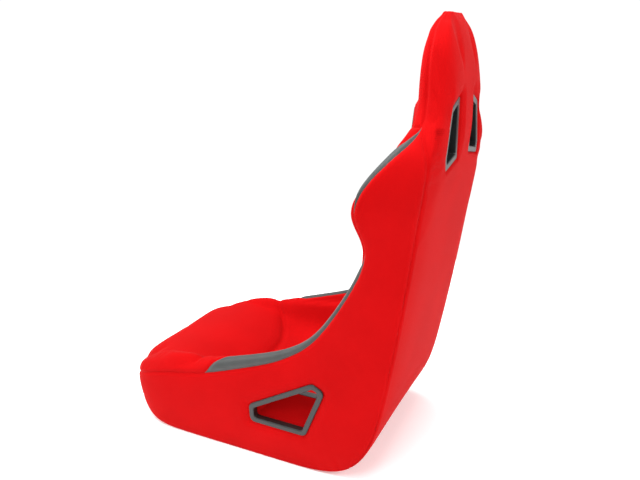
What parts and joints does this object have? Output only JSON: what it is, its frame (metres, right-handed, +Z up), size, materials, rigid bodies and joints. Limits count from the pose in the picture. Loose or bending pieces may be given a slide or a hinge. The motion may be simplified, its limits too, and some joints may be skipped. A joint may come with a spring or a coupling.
{
  "type": "racing seat",
  "caption": "Fixed-back bucket racing seat: tube frame, foam bolsters, stretch cloth cover, grip patches and belt slots with bezels.",
  "frame": {"origin": "on the floor plane under the seat, in its plane of symmetry, 40 mm in front of the middle of the side mounts", "axes": "+Z up, the seat faces -Y, +X is the occupant's left"},
  "size_m": [0.5172, 0.7235, 0.899],
  "materials": {
    "frame_paint": "satin black powder coat on steel tube and plate",
    "zinc_steel": "zinc plated",
    "spring_steel": "phosphated spring steel",
    "webbing": "woven elastic webbing",
    "foam": "moulded open-cell foam",
    "cover_cloth": "red stretch knit laminated to thin foam",
    "grip_vinyl": "charcoal grip vinyl, fine matt grain",
    "bezel_plastic": "black moulded plastic, fine texture"
  },
  "bodies": {
    "root": {"back_bow": "frame_paint", "back_cover": "cover_cloth", "back_cushion_foam": "foam", "back_webbing": "webbing", "back_webbing_clips": "spring_steel", "base_cover": "cover_cloth", "front_bow": "frame_paint", "headrest_cover": "cover_cloth", "headrest_foam": "foam", "headrest_hoop": "frame_paint", "headrest_plate": "frame_paint", "hip_bolster_foam_left": "foam", "hip_bolster_foam_right": "foam", "hip_rail_left": "frame_paint", "hip_rail_right": "frame_paint", "lap_slot_bezel_inner_left": "bezel_plastic", "lap_slot_bezel_inner_right": "bezel_plastic", "lap_slot_bezel_outer_left": "bezel_plastic", "lap_slot_bezel_outer_right": "bezel_plastic", "lap_slot_lining_left": "cover_cloth", "lap_slot_lining_right": "cover_cloth", "lumbar_cross_tube": "frame_paint", "mount_bosses": "zinc_steel", "rear_cover": "cover_cloth", "rear_padding_foam": "foam", "seat_cover": "cover_cloth", "seat_cross_tube": "frame_paint", "seat_cushion_foam": "foam", "seat_webbing": "webbing", "seat_webbing_clips": "spring_steel", "shoulder_bolster_foam_left": "foam", "shoulder_bolster_foam_right": "foam", "shoulder_grip_patch_left": "grip_vinyl", "shoulder_grip_patch_right": "grip_vinyl", "shoulder_slot_bezel_front_left": "bezel_plastic", "shoulder_slot_bezel_front_right": "bezel_plastic", "shoulder_slot_bezel_rear_left": "bezel_plastic", "shoulder_slot_bezel_rear_right": "bezel_plastic", "side_cover_left": "cover_cloth", "side_cover_right": "cover_cloth", "side_mount_plate_left": "frame_paint", "side_mount_plate_right": "frame_paint", "side_rail_left": "frame_paint", "side_rail_right": "frame_paint", "thigh_grip_patch_left": "grip_vinyl", "thigh_grip_patch_right": "grip_vinyl", "wing_hoop_left": "frame_paint", "wing_hoop_right": "frame_paint"}
  },
  "joints": []
}
